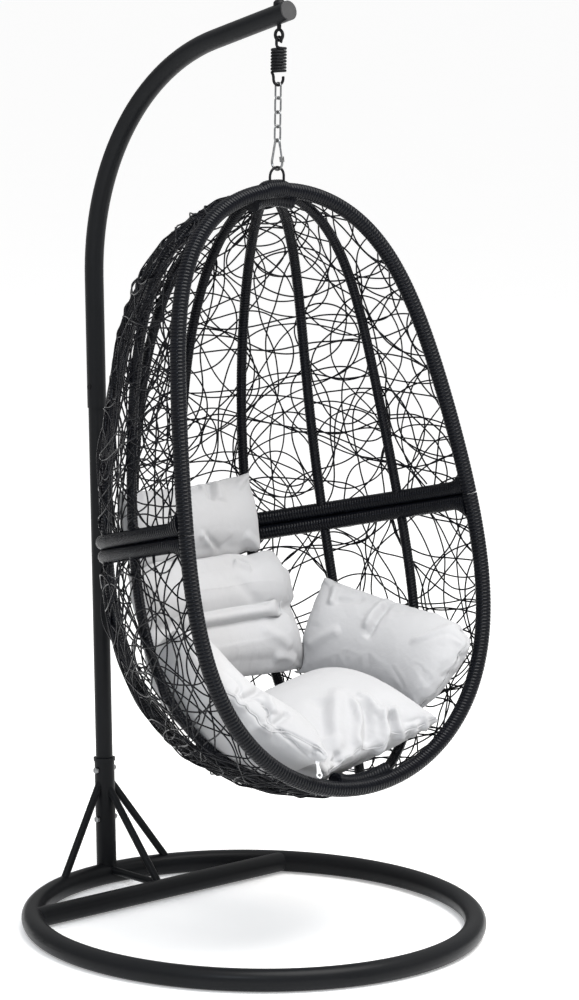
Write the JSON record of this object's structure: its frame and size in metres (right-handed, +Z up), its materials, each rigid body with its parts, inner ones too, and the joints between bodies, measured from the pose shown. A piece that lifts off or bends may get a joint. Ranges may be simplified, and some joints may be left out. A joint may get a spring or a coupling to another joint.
{
  "type": "hanging egg chair",
  "caption": "Hanging egg chair: a woven basket with cushions, hung by a spring, chain and snap hook from a bent post on a ring base.",
  "frame": {"origin": "on the floor at the centre of the base ring", "axes": "+Z up, the basket opens toward -Y, the post stands at +Y, X runs across"},
  "size_m": [1.0079, 1.0681, 2.0042],
  "materials": {
    "stand_paint": "satin powder coat",
    "black_steel": "black coated steel",
    "zinc": "zinc plated",
    "cap_plastic": "moulded",
    "wrapped_tube": "steel tube wrapped in glossy strand",
    "wicker_wrap": "wrapped glossy strand",
    "wicker_strand": "round glossy strand",
    "cushion_cloth": "woven polyester"
  },
  "bodies": {
    "stand": {"base_ring": "stand_paint", "base_crossbar": "stand_paint", "post_socket": "stand_paint", "brace_left": "stand_paint", "brace_right": "stand_paint", "brace_front": "stand_paint", "base_tie": "stand_paint", "lower_pole": "stand_paint", "upper_arm": "stand_paint", "arm_end_cap": "cap_plastic", "socket_bolts": "zinc", "socket_nuts": "zinc", "pole_screw": "black_steel", "eye_bolt": "black_steel", "eye_bolt_dome": "black_steel"},
    "spring": {"spring": "black_steel"},
    "link_1": {"chain_link_1": "zinc"},
    "link_2": {"chain_link_2": "zinc"},
    "link_3": {"chain_link_3": "zinc"},
    "link_4": {"chain_link_4": "zinc"},
    "snap_hook": {"snap_hook": "zinc", "snap_gate_pin": "zinc"},
    "snap_gate": {"snap_gate": "zinc"},
    "basket": {"basket_loop": "black_steel", "crown_plate": "wicker_wrap", "bottom_plate": "wicker_wrap", "upper_rim": "wrapped_tube", "lower_rim": "wrapped_tube", "upper_band": "wrapped_tube", "lower_band": "wrapped_tube", "upper_rib_1": "wicker_wrap", "upper_rib_2": "wicker_wrap", "upper_rib_3": "wicker_wrap", "upper_rib_4": "wicker_wrap", "upper_rib_5": "wicker_wrap", "upper_rib_6": "wicker_wrap", "upper_rib_7": "wicker_wrap", "upper_rib_8": "wicker_wrap", "lower_rib_1": "wicker_wrap", "lower_rib_2": "wicker_wrap", "lower_rib_3": "wicker_wrap", "lower_rib_4": "wicker_wrap", "lower_rib_5": "wicker_wrap", "lower_rib_6": "wicker_wrap", "lower_rib_7": "wicker_wrap", "lower_rib_8": "wicker_wrap", "upper_weave_left": "wicker_strand", "upper_weave_back": "wicker_strand", "upper_weave_right": "wicker_strand", "lower_weave_left": "wicker_strand", "lower_weave_back": "wicker_strand", "lower_weave_right": "wicker_strand", "seat_cushion": "cushion_cloth", "back_cushion": "cushion_cloth", "head_cushion": "cushion_cloth", "right_arm_cushion": "cushion_cloth", "left_arm_cushion": "cushion_cloth"}
  },
  "joints": [
    {"name": "swing_fore_aft", "type": "hinge", "parent": "stand", "child": "spring", "pos_m": [0, -0.036, 1.918], "axis": [1, 0, 0], "range_deg": [-14, 6]},
    {"name": "spring_stretch", "type": "slide", "parent": "spring", "child": "link_1", "axis": [0, 0, -1], "range_m": [0, 0.03], "stiffness_N_per_m": 30000, "springref_m": -0.012, "deforming": ["spring"]},
    {"name": "swing_sideways", "type": "hinge", "parent": "link_1", "child": "link_2", "pos_m": [0, -0.036, 1.7958], "axis": [0, 1, 0], "range_deg": [-10, 10]},
    {"name": "link_3_twist", "type": "hinge", "parent": "link_2", "child": "link_3", "pos_m": [0, -0.036, 1.7661], "axis": [0, 0, 1], "range_deg": [-8, 8]},
    {"name": "link_4_twist", "type": "hinge", "parent": "link_3", "child": "link_4", "pos_m": [0, -0.036, 1.7364], "axis": [0, 0, 1], "range_deg": [-8, 8]},
    {"name": "snap_hook_twist", "type": "hinge", "parent": "link_4", "child": "snap_hook", "pos_m": [0, -0.036, 1.7067], "axis": [0, 0, 1], "range_deg": [-8, 8]},
    {"name": "gate_swing", "type": "hinge", "parent": "snap_hook", "child": "snap_gate", "pos_m": [0, -0.04966, 1.6734], "axis": [-1, 0, 0], "range_deg": [0, 25], "stiffness_Nm_per_rad": 0.004, "springref_deg": -22.92},
    {"name": "basket_turn", "type": "hinge", "parent": "snap_hook", "child": "basket", "pos_m": [0, -0.036, 1.6479], "axis": [0, 0, 1], "range_deg": [-10, 10]}
  ]
}
